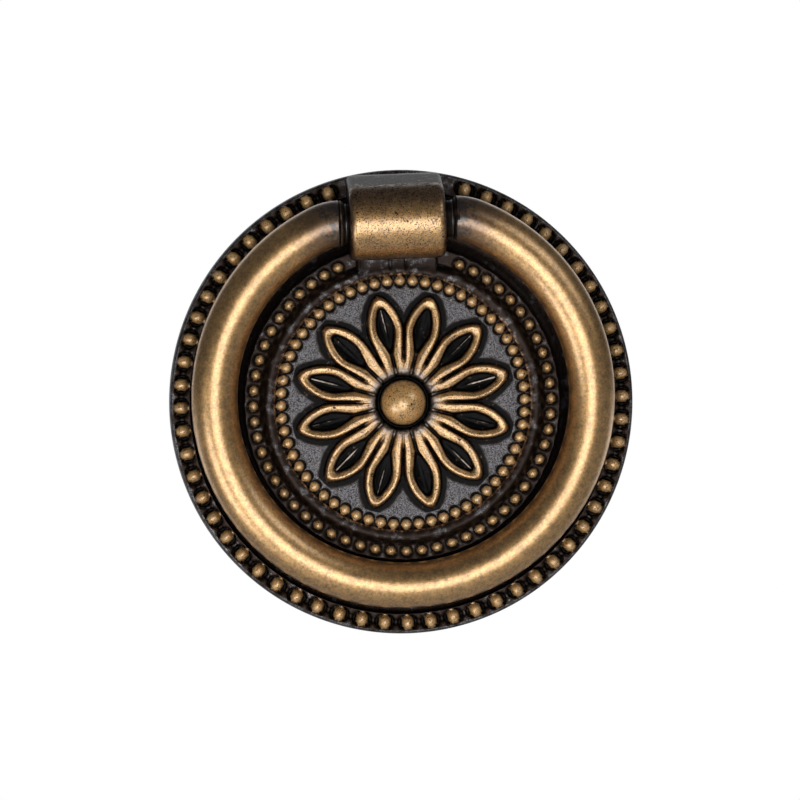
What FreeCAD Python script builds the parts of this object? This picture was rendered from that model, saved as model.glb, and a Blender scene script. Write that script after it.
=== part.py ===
import FreeCAD
import Part
import math
import os

# Ring pull handle for a drawer front, in millimetres.
# Two castings: a round backplate with a beaded rim, a petalled rosette and a hinge knuckle,
# and a round ring whose two pins turn in the knuckle.
# Both are drawn with the plate lying on its back: x to the right, y up the drawer front and
# z out of it. They are stood up at the end, so that +Z is up and the front faces -Y, with the
# origin at the centre of the back face.

V = FreeCAD.Vector

# Backplate blank
PLATE_R = 30.0  # back edge of the plate
WALL_DRAFT = 0.5  # the rim's front edge stands this much further in
RIM_Z = 2.6  # front face of the rim
CHANNEL_Z = 1.8  # floor of the channel that the ring lies in
ROSETTE_DRAFT = 0.4  # slope of the wall between channel and rosette
MID_Z = 3.5  # ledge that carries the middle row of beads
FIELD_Z = 4.9  # ground of the petals and the inner row of beads
CREST_RISE = 0.35  # the crest stands this much above the field
CREST_WIDTH = 0.4  # flat top of the crest
CREST_OUTER_RUN = 0.6  # slope from the crest down to the ledge
CREST_INNER_RUN = 0.5  # slope from the crest down to the field

# Beads: length runs along the radius, width along the row
BEADS_PER_ROW = 60
ROW_TURN = 0.9  # degrees that the rows are turned clockwise from the knuckle
RIM_BEAD_LENGTH = 2.0
RIM_BEAD_WIDTH = 1.6
RIM_BEAD_RISE = 0.8
SMALL_BEAD_SIZE = 1.2
SMALL_BEAD_RISE = 0.6
BEAD_SIDES = 6
RIM_BEAD_CROWN = 0.5  # flat crown as a share of the foot; the small beads end in a point
BEAD_SINK = 0.2  # the foot reaches this far into its ground
RIM_EDGE = 0.1  # from the rim's front edge to its beads
RIM_LIP = 0.15  # from the rim's beads to the channel

# Ring
RING_STOCK_D = 5.9
RING_SIDES = 20  # flats that stand for the round bar, within 0.04 mm of it
RING_INSET = 0.1  # from the channel's outer wall to the ring's outside
RING_RISE = 0.6  # the ring's centre stands this much above the plate's
SHOULDER_R = 5.8  # bend that turns the ring's ends level
END_GAP = 0.95  # between the knuckle's side and the ring's end
END_CHAMFER = 0.4
REST_GAP = 0.3  # between the hanging ring and the channel's floor

# Hinge
HINGE_Z = 8.4  # pin axis above the back face
PIN_D = 4.8
PIN_CLEARANCE = 0.05  # running fit, on the radius
PIN_GRIP = 4.0  # length of each pin inside the knuckle
KNUCKLE_WIDTH = 12.2
KNUCKLE_WALL = 2.35  # metal round the pin hole
KNUCKLE_CHAMFER = 0.6
KNUCKLE_INSET = 0.1  # behind the rim's front edge
RAMP_RISE = 2.0  # the ramp behind the barrel ends this far above the rim
BEAD_TO_KNUCKLE = 0.5  # no bead comes nearer to the knuckle's sides

# Rosette, from the channel inwards
ROSETTE_GAP = 0.95  # from the ring's inside to the rosette
MID_ROW_INSET = 1.3
CREST_INSET = 1.4
INNER_ROW_INSET = 2.1
PETAL_TIP_INSET = 1.75
PETALS = 12
PETAL_TURN = 2.6  # degrees that the petals are turned clockwise from the knuckle
PETAL_RISE = 1.2
PETAL_ARCH = 5.35  # length of the pointed end
PETAL_HALF_WIDTH = 2.1  # where the pointed end begins
PETAL_OVERLAP = 0.2  # neighbours merge at the root
PETAL_SINK = 0.2
DISH_RIM = 0.95  # rim left beside the dish
DISH_TIP = 1.0  # rim left at the tip
DISH_DEPTH = 0.7
DISH_ROOT = 1.6  # the dish ends this far outside the petal's root
DISH_ROOT_HALF = 0.2
DOME_R = 3.0
DOME_RISE = 3.0
MOAT = 0.4  # ground left between dome and petals

# Back: cored pocket with a boss tapped M4
BACK_WALL = 2.0  # metal left in front of the pocket
POCKET_INSET = 0.6  # the pocket ends this far inside the crest
BOSS_R = 4.0
TAP_R = 1.65
TAP_DEPTH = 6.4

# Sizes that follow from those above
rim_front_r = PLATE_R - WALL_DRAFT
rim_row_r = rim_front_r - RIM_EDGE - RIM_BEAD_LENGTH / 2
channel_r = rim_row_r - RIM_BEAD_LENGTH / 2 - RIM_LIP
stock_r = RING_STOCK_D / 2
ring_r = channel_r - RING_INSET - stock_r
rosette_r = ring_r - stock_r - ROSETTE_GAP
mid_row_r = rosette_r - MID_ROW_INSET
crest_r = mid_row_r - CREST_INSET
inner_row_r = crest_r - INNER_ROW_INSET
petal_tip_r = inner_row_r - PETAL_TIP_INSET
petal_root_r = DOME_R + MOAT
pocket_r = crest_r - POCKET_INSET
pocket_z = FIELD_Z - BACK_WALL
crest_z = FIELD_Z + CREST_RISE

pin_r = PIN_D / 2
barrel_r = pin_r + PIN_CLEARANCE + KNUCKLE_WALL
knuckle_side = KNUCKLE_WIDTH / 2
ring_end_x = knuckle_side + END_GAP
bend_x = ring_end_x + END_CHAMFER
shoulder_turn = math.asin(bend_x / (ring_r - SHOULDER_R))
hinge_y = RING_RISE + SHOULDER_R + (ring_r - SHOULDER_R) * math.cos(shoulder_turn)
ring_reach = hinge_y - RING_RISE + ring_r
rest_z = CHANNEL_Z + REST_GAP + stock_r
rest_tilt = math.degrees(math.asin((HINGE_Z - rest_z) / ring_reach))


def turned(shape, angle):
    """Copy of a shape turned about the plate's axis, in degrees."""
    return shape.rotated(V(0, 0, 0), V(0, 0, 1), angle)


def plate_blank():
    """Plate, crest, dome, back pocket and tapped boss from one turned profile."""
    dome_top = V(0, 0, FIELD_Z + DOME_RISE)
    dome_foot = V(DOME_R, 0, FIELD_Z)
    dome_ball = (DOME_R ** 2 + DOME_RISE ** 2) / (2 * DOME_RISE)
    dome_half = math.atan2(DOME_R, DOME_RISE - dome_ball) / 2
    ball_z = FIELD_Z + DOME_RISE - dome_ball
    dome_side = V(dome_ball * math.sin(dome_half), 0, ball_z + dome_ball * math.cos(dome_half))
    crest_out = crest_r + CREST_WIDTH / 2
    crest_in = crest_r - CREST_WIDTH / 2
    outline = [
        (DOME_R, FIELD_Z),
        (crest_in - CREST_INNER_RUN, FIELD_Z),
        (crest_in, crest_z),
        (crest_out, crest_z),
        (crest_out + CREST_OUTER_RUN, MID_Z),
        (rosette_r, MID_Z),
        (rosette_r + ROSETTE_DRAFT, CHANNEL_Z),
        (channel_r, CHANNEL_Z),
        (channel_r, RIM_Z),
        (rim_front_r, RIM_Z),
        (PLATE_R, 0),
        (pocket_r, 0),
        (pocket_r, pocket_z),
        (BOSS_R, pocket_z),
        (BOSS_R, 0),
        (TAP_R, 0),
        (TAP_R, TAP_DEPTH),
        (0, TAP_DEPTH),
    ]
    points = [V(r, 0, z) for r, z in outline] + [dome_top]
    edges = [Part.makeLine(a, b) for a, b in zip(points, points[1:])]
    edges.append(Part.Arc(dome_top, dome_side, dome_foot).toShape())
    profile = Part.Face(Part.Wire(edges))
    return profile.revolve(V(0, 0, 0), V(0, 0, 1), 360)


def oval(length, width, sides):
    """Corners of a regular oval about the origin, as (along, across) pairs."""
    steps = [2 * math.pi * i / sides for i in range(sides)]
    return [(math.cos(a) * length / 2, math.sin(a) * width / 2) for a in steps]


def tapered(foot, crown):
    """Solid between two loops of as many points, or from a loop up to one point."""
    if len(crown) == 1:
        sides = [[a, b, crown[0]] for a, b in zip(foot, foot[1:] + foot[:1])]
        loops = sides + [foot[::-1]]
    else:
        pairs = list(zip(foot, crown))
        sides = [[a, b, d, c] for (a, c), (b, d) in zip(pairs, pairs[1:] + pairs[:1])]
        loops = sides + [foot[::-1], crown]
    faces = [Part.Face(Part.makePolygon(loop + loop[:1])) for loop in loops]
    return Part.makeSolid(Part.makeShell(faces))


def bead(length, width, rise, crown):
    """Faceted bead on the ground z = 0."""
    corners = oval(length, width, BEAD_SIDES)
    foot = [V(x, y, -BEAD_SINK) for x, y in corners]
    if crown == 0:
        return tapered(foot, [V(0, 0, rise)])
    return tapered(foot, [V(x * crown, y * crown, rise) for x, y in corners])


def bead_row(row_r, ground_z, length, width, rise, crown=0):
    """Row of beads round the plate, left out where the knuckle stands."""
    one = bead(length, width, rise, crown).translated(V(row_r, 0, ground_z))
    pitch = 360 / BEADS_PER_ROW
    angles = [90 - ROW_TURN + pitch * i for i in range(BEADS_PER_ROW)]
    near = knuckle_side + BEAD_TO_KNUCKLE + width / 2
    foot_y = hinge_y - barrel_r - length

    def free(angle):
        x = row_r * math.cos(math.radians(angle))
        y = row_r * math.sin(math.radians(angle))
        return abs(x) > near or y < foot_y

    return [turned(one, a) for a in angles if free(a)]


def pointed_leaf(root_r, root_half, arch_r, arch_half, tip_r, z, height):
    """Leaf along +x: straight flanks from the root, then two arcs that meet in a point."""
    root = V(root_r, root_half, z)
    arch = V(arch_r, arch_half, z)
    tip = V(tip_r, 0, z)
    flank = (arch - root).normalize()
    inward = V(flank.y, -flank.x, 0)
    chord = tip - arch
    radius = chord.Length ** 2 / (2 * chord.dot(inward))
    centre = arch + inward * radius
    middle = ((arch - centre) + (tip - centre)).normalize() * radius + centre

    def across(p):
        return V(p.x, -p.y, p.z)

    edges = [
        Part.makeLine(across(root), root),
        Part.makeLine(root, arch),
        Part.Arc(arch, middle, tip).toShape(),
        Part.Arc(tip, across(middle), across(arch)).toShape(),
        Part.makeLine(across(arch), across(root)),
    ]
    return Part.Face(Part.Wire(edges)).extrude(V(0, 0, height))


def petals_and_dishes():
    """Raised petals round the dome, and the dishes to cut into them."""
    half_pitch = math.pi / PETALS
    root_half = petal_root_r * math.tan(half_pitch) + PETAL_OVERLAP
    arch_r = petal_tip_r - PETAL_ARCH
    base_z = FIELD_Z - PETAL_SINK
    petal = pointed_leaf(petal_root_r, root_half, arch_r, PETAL_HALF_WIDTH, petal_tip_r,
                         base_z, PETAL_SINK + PETAL_RISE)
    floor_z = FIELD_Z + PETAL_RISE - DISH_DEPTH
    dish = pointed_leaf(petal_root_r + DISH_ROOT, DISH_ROOT_HALF, arch_r,
                        PETAL_HALF_WIDTH - DISH_RIM, petal_tip_r - DISH_TIP,
                        floor_z, 2 * DISH_DEPTH)
    angles = [360 / PETALS * (i + 0.5) - PETAL_TURN for i in range(PETALS)]
    return [turned(petal, a) for a in angles], [turned(dish, a) for a in angles]


def knuckle():
    """Hinge barrel on its foot, with a ramp from its back down to the rim."""
    foot_y = hinge_y - barrel_r
    foot_z = CHANNEL_Z / 2
    ramp_y = rim_front_r - KNUCKLE_INSET
    ramp_z = RIM_Z + RAMP_RISE
    to_ramp = math.atan2(ramp_z - HINGE_Z, ramp_y - hinge_y)
    away = math.hypot(ramp_z - HINGE_Z, ramp_y - hinge_y)
    touch = to_ramp + math.acos(barrel_r / away)

    def at(y, z):
        return V(-knuckle_side, y, z)

    low = at(foot_y, HINGE_Z)
    front = at(hinge_y, HINGE_Z + barrel_r)
    high = at(hinge_y + barrel_r * math.cos(touch), HINGE_Z + barrel_r * math.sin(touch))
    edges = [
        Part.makeLine(at(foot_y, foot_z), low),
        Part.Arc(low, front, high).toShape(),
        Part.makeLine(high, at(ramp_y, ramp_z)),
        Part.makeLine(at(ramp_y, ramp_z), at(ramp_y, foot_z)),
        Part.makeLine(at(ramp_y, foot_z), at(foot_y, foot_z)),
    ]
    body = Part.Face(Part.Wire(edges)).extrude(V(KNUCKLE_WIDTH, 0, 0))
    tiny = 1e-6
    outline = [
        e for e in body.Edges
        if abs(abs(e.CenterOfMass.x) - knuckle_side) < tiny
        and e.BoundBox.ZMax > foot_z + tiny
        and e.BoundBox.YMin < ramp_y - tiny
    ]
    body = body.makeChamfer(KNUCKLE_CHAMFER, outline)
    return body.common(Part.makeCylinder(ramp_y, HINGE_Z + 2 * barrel_r))


def backplate():
    """The whole plate casting."""
    petals, dishes = petals_and_dishes()
    beads = bead_row(rim_row_r, RIM_Z, RIM_BEAD_LENGTH, RIM_BEAD_WIDTH, RIM_BEAD_RISE,
                     RIM_BEAD_CROWN)
    for row_r, ground_z in ((mid_row_r, MID_Z), (inner_row_r, FIELD_Z)):
        beads += bead_row(row_r, ground_z, SMALL_BEAD_SIZE, SMALL_BEAD_SIZE, SMALL_BEAD_RISE)
    pin_hole = Part.makeCylinder(pin_r + PIN_CLEARANCE, 2 * KNUCKLE_WIDTH,
                                 V(-KNUCKLE_WIDTH, hinge_y, HINGE_Z), V(1, 0, 0))
    plate = plate_blank().multiFuse(petals)
    plate = plate.cut(dishes)
    plate = plate.multiFuse([knuckle()] + beads)
    return plate.cut(pin_hole).removeSplitter()


def bar_section(x, y, diameter):
    """Corners of the bar's section where it runs level at (x, y)."""
    return [V(x, y + up, HINGE_Z + out) for up, out in oval(diameter, diameter, RING_SIDES)]


def ring():
    """Open ring with level ends and a pin on each, hanging in the channel."""
    full = bar_section(bend_x, hinge_y, RING_STOCK_D)
    small = bar_section(ring_end_x, hinge_y, RING_STOCK_D - 2 * END_CHAMFER)
    end = tapered(full, small)

    turn = math.degrees(shoulder_turn)
    bend = V(bend_x, hinge_y - SHOULDER_R, HINGE_Z)
    section = Part.Face(Part.makePolygon(full + full[:1]))
    shoulder = section.revolve(bend, V(0, 0, -1), turn)

    centre = V(0, RING_RISE, HINGE_Z)
    top = bar_section(0, RING_RISE + ring_r, RING_STOCK_D)
    start = Part.Face(Part.makePolygon(top + top[:1])).rotated(centre, V(0, 0, -1), turn)
    bow = start.revolve(centre, V(0, 0, -1), 360 - 2 * turn)

    pin_tip = V(knuckle_side - PIN_GRIP, hinge_y, HINGE_Z)
    pin = Part.makeCylinder(pin_r, bend_x - pin_tip.x, pin_tip, V(1, 0, 0))

    side = [end, shoulder, pin]
    side += [s.mirror(V(0, 0, 0), V(1, 0, 0)) for s in side]
    whole = bow.multiFuse(side).removeSplitter()
    return whole.rotated(V(0, hinge_y, HINGE_Z), V(1, 0, 0), rest_tilt)


os.makedirs("parts", exist_ok=True)
for name, shape in (("backplate", backplate()), ("ring", ring())):
    stood = shape.rotated(V(0, 0, 0), V(1, 0, 0), 90)
    stood.exportStep("parts/" + name + ".step")
    print(name, "solids", len(stood.Solids), "valid", stood.isValid(), "volume", round(stood.Volume, 1))
print("hinge at y", round(-HINGE_Z, 3), "z", round(hinge_y, 3), "tilt", round(rest_tilt, 3))
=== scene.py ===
"""Ring pull handle in antique brass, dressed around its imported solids.

Both castings are drawn in millimetres with the plate lying on its back: x to the right, y up
the drawer front and z out of it. They are stood up and scaled to metres at the end.
"""

import logging
import math
from collections.abc import Iterable
from dataclasses import dataclass, field
from enum import Enum
from typing import TypeVar

import bmesh
import bpy
import numpy as np
from mathutils import Matrix, Vector


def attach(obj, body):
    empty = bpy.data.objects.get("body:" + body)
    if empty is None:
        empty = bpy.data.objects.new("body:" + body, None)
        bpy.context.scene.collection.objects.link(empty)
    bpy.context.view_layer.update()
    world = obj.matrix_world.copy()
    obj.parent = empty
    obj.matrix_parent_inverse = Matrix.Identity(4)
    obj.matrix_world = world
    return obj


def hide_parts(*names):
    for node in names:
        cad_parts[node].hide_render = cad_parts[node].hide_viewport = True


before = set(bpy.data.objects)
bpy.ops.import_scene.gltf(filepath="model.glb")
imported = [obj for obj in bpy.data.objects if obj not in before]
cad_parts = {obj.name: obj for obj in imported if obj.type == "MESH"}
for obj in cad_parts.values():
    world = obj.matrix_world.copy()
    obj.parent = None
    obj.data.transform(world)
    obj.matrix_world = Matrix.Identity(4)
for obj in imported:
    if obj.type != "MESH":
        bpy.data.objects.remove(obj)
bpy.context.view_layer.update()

log = logging.getLogger("ring_pull")

Array = np.ndarray
Colour = tuple[float, float, float]
Part = TypeVar("Part")  # a point or an edge of a mesh

MM = 0.001
STAND_UP = Matrix.Scale(MM, 4) @ Matrix.Rotation(math.radians(90), 4, "X")
FULL_TURN = 2 * math.pi
SECTORS = 12  # equal sectors of the plate
WELD = 1e-3  # points nearer than this, in millimetres, are one
NEAR = 1e-4  # lengths that differ by less, in millimetres, are equal
OUTSIDE = -9.0  # distance that stands for far outside a petal
# Gold shares above 1 lift the dome and the beads past the rubbed plating: a painted highlight.
DOME_GOLD_AND_HIGHLIGHT = 1.25  # above 1 the plating is painted brighter, a painted highlight
BEAD_GOLD_AND_HIGHLIGHT = 1.35


class Trait(Enum):
    """What the finish has done at a point of a casting, with some painted light and shade, kept as
    vertex attributes.
    """

    GOLD = "gold"  # rubbed back to the bright plating; lifted as painted highlight on dome and beads, lowered as painted shade on the knuckle
    CAVITY_AND_SHADE = "cavity_and_shade"  # black patina left in a hollow; on the knuckle, painted shade
    GROUND = "ground"  # matte grey stippled ground
    WORN = "worn"  # pale metal where the plating is rubbed through; on the veins, partly a painted glint


class Slot(Enum):
    """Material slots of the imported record."""

    PLATE = "plate_antique_brass"
    RING = "ring_antique_brass"


class Body(Enum):
    """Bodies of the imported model."""

    PLATE = "plate_body"
    RING = "ring_body"


@dataclass
class Relief:
    """Height and finish of the plate's front at many points.

    Attributes:
        z: Height above the back face.
        gold: Share of bright plating.
        cavity_and_shade: Share of black patina.
        ground: Share of grey ground.
        worn: Share of pale worn metal.
    """

    z: Array
    gold: Array
    cavity_and_shade: Array
    ground: Array
    worn: Array


def smooth(low: float, high: float, value: Array) -> Array:
    """Smooth step.

    Args:
        low: Where the step leaves 0.
        high: Where it reaches 1; may lie below low.
        value: Points to step.

    Returns:
        The step at each point.
    """
    t = np.clip((value - low) / (high - low), 0.0, 1.0)
    return t * t * (3.0 - 2.0 * t)


def soft_max(a: Array, b: Array, blend: float) -> Array:
    """Larger of two heights with a rounded seam.

    Args:
        a: First heights.
        b: Second heights.
        blend: Height difference over which they run together.

    Returns:
        The blended heights.
    """
    h = np.clip(0.5 + 0.5 * (a - b) / blend, 0.0, 1.0)
    return b + (a - b) * h + blend * h * (1.0 - h)


def unique(items: Iterable[Part]) -> list[Part]:
    """The items without repeats, in their own order."""
    return list(dict.fromkeys(items))


def new_casting() -> bmesh.types.BMesh:
    """Start an empty mesh that holds the traits of the finish."""
    bm = bmesh.new()
    for trait in Trait:
        bm.verts.layers.float.new(trait.value)
    return bm


def add_mesh(bm: bmesh.types.BMesh, part: bmesh.types.BMesh) -> None:
    """Move one mesh into another.

    Args:
        bm: Mesh to add to.
        part: Mesh to add; it is freed.
    """
    draft = bpy.data.meshes.new("draft")
    part.to_mesh(draft)
    part.free()
    bm.from_mesh(draft)
    bpy.data.meshes.remove(draft)


def split_ring(part: bmesh.types.BMesh, r: float, z: float, pieces: int) -> None:
    """Split the edges of an open ring, so that it meets a finer one point for point.

    Args:
        part: Mesh that ends in the ring.
        r: Radius of the ring.
        z: Height of the ring.
        pieces: Edges that each edge becomes.
    """
    def on(v: bmesh.types.BMVert) -> bool:
        """Whether a point is on the ring."""
        return abs(v.co.xy.length - r) < WELD and abs(v.co.z - z) < WELD

    ring = [e for e in part.edges if e.is_boundary and all(on(v) for v in e.verts)]
    cut = bmesh.ops.subdivide_edges(part, edges=ring, cuts=pieces - 1)["geom_inner"]
    for v in (g for g in cut if isinstance(g, bmesh.types.BMVert)):
        v.co.xy = v.co.xy.normalized() * r


def spun(bm: bmesh.types.BMesh, chain: list[tuple[float, float]], steps: int,
         finer_start: int = 1, finer_end: int = 1, start: float = 0.0) -> None:
    """Turn a chain of (radius, height) points about the plate's axis.

    One sector is spun step by step and then repeated, which is quicker than one long spin.

    Args:
        bm: Mesh to add to.
        chain: The profile, from one end to the other.
        steps: Points round the full turn, a multiple of SECTORS.
        finer_start: How many times finer the ring is that the chain's first point meets.
        finer_end: The same for its last point.
        start: Where the turn starts, clockwise from the top, in radians.
    """
    part = new_casting()
    verts = [part.verts.new((r * math.sin(start), r * math.cos(start), z)) for r, z in chain]
    edges = [part.edges.new(pair) for pair in zip(verts, verts[1:])]
    sector = FULL_TURN / SECTORS
    bmesh.ops.spin(part, geom=verts + edges, cent=(0, 0, 0), axis=(0, 0, 1),
                   angle=sector, steps=steps // SECTORS)
    bmesh.ops.spin(part, geom=part.verts[:] + part.edges[:] + part.faces[:], cent=(0, 0, 0),
                   axis=(0, 0, 1), angle=FULL_TURN - sector, steps=SECTORS - 1,
                   use_duplicate=True)
    bmesh.ops.remove_doubles(part, verts=part.verts, dist=WELD)
    for (r, z), pieces in ((chain[0], finer_start), (chain[-1], finer_end)):
        if pieces > 1:
            split_ring(part, r, z, pieces)
    add_mesh(bm, part)


def finished(bm: bmesh.types.BMesh, name: str) -> bpy.types.Object:
    """Stand a casting up and link it as an object.

    Args:
        bm: The casting in millimetres; it is freed.
        name: Name of the piece.

    Returns:
        The new object, at the origin.
    """
    bmesh.ops.transform(bm, matrix=STAND_UP, verts=bm.verts)
    mesh = bpy.data.meshes.new(name)
    bm.to_mesh(mesh)
    bm.free()
    mesh.polygons.foreach_set("use_smooth", [True] * len(mesh.polygons))
    piece = bpy.data.objects.new(name, mesh)
    bpy.context.scene.collection.objects.link(piece)
    return piece


def paint(bm: bmesh.types.BMesh, verts: list[bmesh.types.BMVert],
          traits: dict[Trait, Array]) -> None:
    """Keep the traits of the finish on some points, 0 where none is given.

    Args:
        bm: Mesh that holds them.
        verts: The points.
        traits: Value of each trait at each point.
    """
    for trait, values in traits.items():
        layer = bm.verts.layers.float[trait.value]
        for v, value in zip(verts, values):
            v[layer] = float(value)


@dataclass
class BeadRow:
    """A row of beads round the plate, each in a cup of its own."""

    row_r: float
    half_length: float
    half_width: float
    rise: float
    cup_depth: float
    cup_half_length: float
    cup_half_width: float
    clear_x: float  # no bead nearer to the middle line than this, behind the knuckle
    clear_y: float  # where that clearing begins
    turn: float  # clockwise from the knuckle, in radians
    power: float = 2.0  # 2 for round beads and cups, more for squarer ones
    wall: float = 0.18  # share of a cup that is its wall
    cap_flatness: float = 3.0  # flatter tops as it grows
    cap_fall: float = 0.75  # how steeply a bead meets its cup
    count: int = 60

    def reach(self, along: Array, across: Array, length: float, width: float) -> Array:
        """Distance from a bead's middle as a share of an oval's size."""
        return (np.abs(along / length) ** self.power
                + np.abs(across / width) ** self.power) ** (1.0 / self.power)

    def over(self, x: Array, y: Array) -> tuple[Array, Array, Array]:
        """Shape of the row over its ground.

        Args:
            x: Points across the plate.
            y: Points up the plate.

        Returns:
            Height over the ground, bead tops and cups.
        """
        pitch = FULL_TURN / self.count
        theta = np.arctan2(x, y) - self.turn
        index = np.round(theta / pitch)
        off = theta - index * pitch
        r = np.hypot(x, y)
        along, across = r * np.cos(off) - self.row_r, r * np.sin(off)
        centre = index * pitch + self.turn
        kept = ((np.abs(self.row_r * np.sin(centre)) > self.clear_x)
                | (self.row_r * np.cos(centre) < self.clear_y))
        q = self.reach(along, across, self.half_length, self.half_width)
        dome = np.clip(1.0 - q ** self.cap_flatness, 0.0, 1.0) ** self.cap_fall * kept
        cup_q = self.reach(along, across, self.cup_half_length, self.cup_half_width)
        cup = smooth(1.0, 1.0 - self.wall, cup_q) * kept
        return dome * (self.rise + self.cup_depth) - cup * self.cup_depth, dome, cup


@dataclass
class Petal:
    """What one petal gives at many points: heights and shares, below zero outside it."""

    height: Array
    inside: Array  # distance inside the outline
    dish: Array  # distance inside the edge of the dish
    vein: Array
    groove: Array  # runs from the dish's point to the moat


@dataclass
class Rosette:
    """Petals round a dome, on a stippled ground."""

    field_z: float = 4.9
    dome_r: float = 3.0
    dome_rise: float = 3.0
    root_r: float = 3.4
    root_half: float = 1.11
    arch_r: float = 8.4
    arch_half: float = 2.1
    tip_r: float = 13.95
    tip_round: float = 1.0
    rise: float = 1.2
    rim: float = 0.95  # width of the rim round the dish
    rim_root: float = 0.35  # it is this much wider towards the root
    shoulder: float = 0.34  # width of a petal's rounded shoulder
    dish_depth: float = 0.8
    groove_depth: float = 0.55
    vein_rise: float = 0.16
    vein_half: float = 0.24
    turn: float = 2.6  # clockwise from the knuckle, in degrees
    # How far each hand-cut petal leans from its place, clockwise from the top, in degrees
    leans: tuple[float, ...] = (-0.45, 0.05, -0.7, -1.2, -0.95, -0.45, 0.55, -0.45, 0.3, -0.7,
                                -1.95, 1.05)

    def edge_distance(self, s: Array, t: Array) -> Array:
        """Distance inside a petal's outline.

        Args:
            s: Points along the petal.
            t: Points across it.

        Returns:
            The distance, below zero outside.
        """
        flank = np.array([self.arch_r - self.root_r, self.arch_half - self.root_half])
        flank /= np.hypot(*flank)
        inward = np.array([flank[1], -flank[0]])
        chord = np.array([self.tip_r + 0.25 * self.tip_round - self.arch_r, -self.arch_half])
        radius = chord @ chord / (2.0 * (chord @ inward))
        centre = np.array([self.arch_r, self.arch_half]) + inward * radius

        def from_side(across: Array) -> Array:
            """Distance inside the outline's one side."""
            along, out = s - self.arch_r, across - self.arch_half
            straight = along * inward[0] + out * inward[1]
            arc = radius - np.hypot(s - centre[0], across - centre[1])
            return np.where(along * flank[0] + out * flank[1] > 0.0, arc, straight)

        return -soft_max(-from_side(t), -from_side(-t), self.tip_round)

    def petal(self, x: Array, y: Array, number: int) -> Petal:
        """One petal over the ground.

        Args:
            x: Points across the plate.
            y: Points up the plate.
            number: Which petal, clockwise from the top.

        Returns:
            The petal there.
        """
        pitch = 360.0 / len(self.leans)
        angle = math.radians(pitch * (number + 0.5) + self.turn + self.leans[number])
        s = x * math.sin(angle) + y * math.cos(angle)
        t = x * math.cos(angle) - y * math.sin(angle)
        inside = np.where(s > 0.0, self.edge_distance(s, t), OUTSIDE)
        rim = self.rim + self.rim_root * smooth(9.5, 6.5, s) - 0.18 * smooth(6.0, 4.0, s)
        rim = rim - 0.12 * smooth(self.tip_r - 2.5, self.tip_r - 1.2, s)
        dish = inside - rim
        lift = self.rise * (1.0 - 0.12 * smooth(self.arch_r, self.tip_r, s))
        lift = lift * smooth(self.root_r - 0.1, self.root_r + 0.5, np.hypot(s, t))
        shoulder = np.clip((inside + 0.05) / self.shoulder, 0.0, 1.0)
        crown = np.sqrt(1.0 - (1.0 - shoulder) ** 2) * (1.0 - 0.1 * smooth(-0.5, 0.0, dish))
        vein = np.clip(1.0 - np.abs(t) / self.vein_half, 0.0, 1.0)
        vein = vein * smooth(self.arch_r - 1.5, self.arch_r + 1.5, s) * smooth(0.1, 0.3, dish)
        vein = vein * (0.3 + 0.7 * (5 * number % 12) / 11.0)
        floor = self.dish_depth * smooth(-0.02, 0.28, dish) + 0.12 * smooth(0.3, 1.1, dish)
        groove = smooth(0.34, 0.1, np.abs(t)) * smooth(8.2, 6.6, s) * (s > 0.0)
        floor = np.maximum(floor, self.groove_depth * groove)
        height = lift * crown - floor * (lift / self.rise) + vein * self.vein_rise
        return Petal(height, inside, dish, vein, groove)

    def scratch(self, x: Array, y: Array) -> Array:
        """Share of the fine curved scratch across the dome."""
        off = np.abs(y + 0.62 - 0.14 * (x + 0.4) ** 2)
        return smooth(0.14, 0.0, off) * smooth(-2.5, -2.0, x) * smooth(1.5, 1.0, x)

    def relief(self, x: Array, y: Array) -> Relief:
        """Height and finish inside the inner row of beads.

        Args:
            x: Points across the plate.
            y: Points up the plate.

        Returns:
            The relief there.
        """
        r = np.hypot(x, y)
        height, vein, groove = (np.zeros_like(r) for _ in range(3))
        inside, second, dish = (np.full_like(r, OUTSIDE) for _ in range(3))
        for number in range(len(self.leans)):
            one = self.petal(x, y, number)
            height = np.where(one.inside > -0.05, soft_max(height, one.height, 0.16), height)
            second = np.maximum(second, np.minimum(inside, one.inside))
            inside = np.maximum(inside, one.inside)
            dish = np.maximum(dish, one.dish)
            vein = np.maximum(vein, one.vein)
            groove = np.maximum(groove, one.groove)
        crease = smooth(0.7, 0.25, inside - second) * smooth(-0.9, -0.4, second)
        crease = crease * smooth(self.root_r + 1.6, self.root_r + 2.6, r)
        band = smooth(-1.55, -0.15, inside)
        top = smooth(-0.1, 0.05, inside) * smooth(0.2, 0.02, dish)
        hollow = smooth(0.0, 0.2, dish) - 0.45 * smooth(0.4, 1.0, dish)
        moat = smooth(self.root_r + 0.2, self.root_r - 0.1, r)
        height = height - 0.3 * crease * (inside > 0.0) - 0.15 * moat
        cap = np.sqrt(np.clip(self.dome_r ** 2 - r ** 2, 0.0, None))
        cap = cap * self.dome_rise / self.dome_r
        on_dome = r < self.dome_r + NEAR
        z = self.field_z + np.where(on_dome, cap, height)
        dome_gold = smooth(self.dome_r + 0.02, self.dome_r - 0.3, r)
        dome_gold = dome_gold * (1.0 - 0.5 * self.scratch(x, y))
        root_tip = smooth(self.root_r + 1.3, self.root_r + 0.4, r)
        rubbed = top * (1.0 - 0.85 * crease) * (1.0 - 0.95 * groove) * (1.0 - 0.8 * root_tip)
        # The dome's plating share is lifted by a painted highlight.
        gold = np.where(on_dome, DOME_GOLD_AND_HIGHLIGHT * dome_gold, rubbed * (1.0 - moat))
        cavity_and_shade = np.maximum.reduce([smooth(0.15, 0.85, band) * (1.0 - top), hollow, moat, crease,
                                    0.9 * groove])
        cavity_and_shade = np.where(on_dome, 1.0 - dome_gold, cavity_and_shade)
        root = smooth(self.root_r + 2.4, self.root_r + 0.7, r) * top
        root = root * (1.0 - moat) * (1.0 - crease)
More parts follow.
